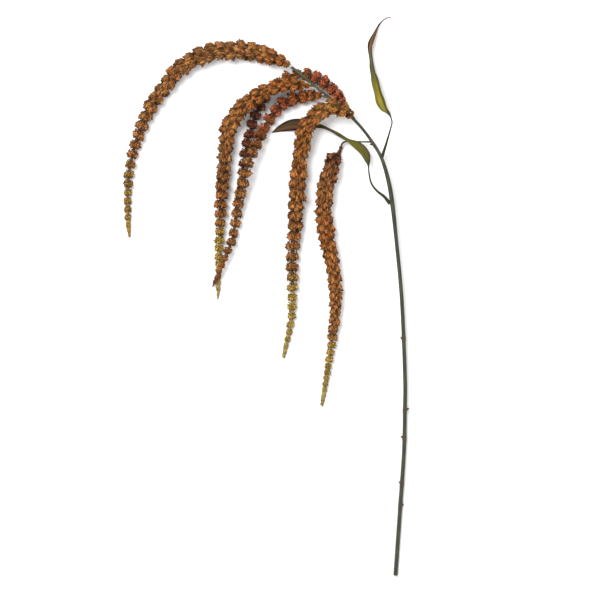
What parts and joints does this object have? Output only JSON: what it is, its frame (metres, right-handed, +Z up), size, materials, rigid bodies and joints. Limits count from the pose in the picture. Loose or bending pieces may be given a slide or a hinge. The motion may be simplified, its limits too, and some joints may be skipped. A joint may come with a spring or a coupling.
{
  "type": "amaranth seed head",
  "caption": "Cut stem of hanging amaranth lying flat, with long drooping seed tassels and twisted narrow leaves.",
  "frame": {"origin": "on the surface that the stem lies on, under the middle of the plant's outline", "axes": "+Y along the stem from its cut end towards the tassels, +Z up from the surface, +X across, towards the side that the stem runs along"},
  "size_m": [0.4282, 0.8384, 0.0471],
  "materials": {
    "stem": "matt, green and faintly ribbed",
    "leaf": "satin, olive green with maroon edges",
    "husks_rust": "matt, rust brown and grainy",
    "husks_maroon": "matt, dark maroon and grainy",
    "husks_ochre": "matt, ochre and grainy",
    "husks_yellow": "matt, greenish yellow and grainy"
  },
  "bodies": {
    "root": {"stem": "stem", "tassel_1": "husks_rust", "tassel_1_tip": "husks_yellow", "tassel_2": "husks_rust", "tassel_2_tip": "husks_yellow", "tassel_3": "husks_maroon", "tassel_4": "husks_rust", "tassel_4_tip": "husks_maroon", "tassel_5": "husks_ochre", "tassel_5_tip": "husks_yellow", "tassel_6": "husks_rust", "tassel_6_tip": "husks_yellow", "leaf_upper": "leaf", "leaf_lower": "leaf"}
  },
  "joints": []
}
